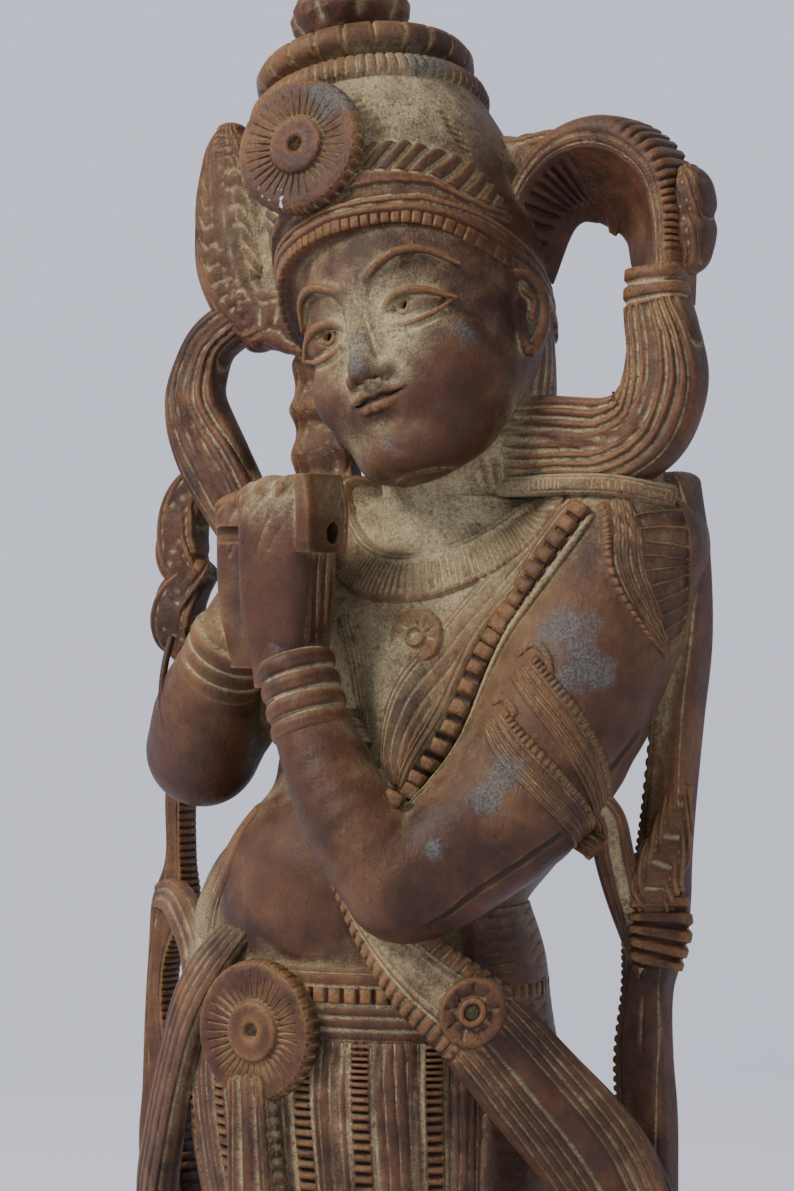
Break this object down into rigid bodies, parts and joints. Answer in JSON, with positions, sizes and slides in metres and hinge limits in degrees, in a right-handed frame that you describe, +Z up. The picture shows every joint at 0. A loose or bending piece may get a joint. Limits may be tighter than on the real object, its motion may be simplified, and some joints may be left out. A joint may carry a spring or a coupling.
{
  "type": "carved wooden deity statue",
  "caption": "Carved wooden statue of a crowned flute player with hands raised to one side, side scarves and hips bent, on a low lotus plinth.",
  "frame": {"origin": "centre of the plinth's underside, at z = 0", "axes": "+Z up, -Y the way the figure faces, +X to the figure's left"},
  "size_m": [0.196, 0.136, 0.6101],
  "materials": {
    "carved_wood": "old dark red-brown wood, polished on the raised parts, with pale dust in the recesses"
  },
  "bodies": {
    "root": {"krishna_figure": "carved_wood"}
  },
  "joints": []
}
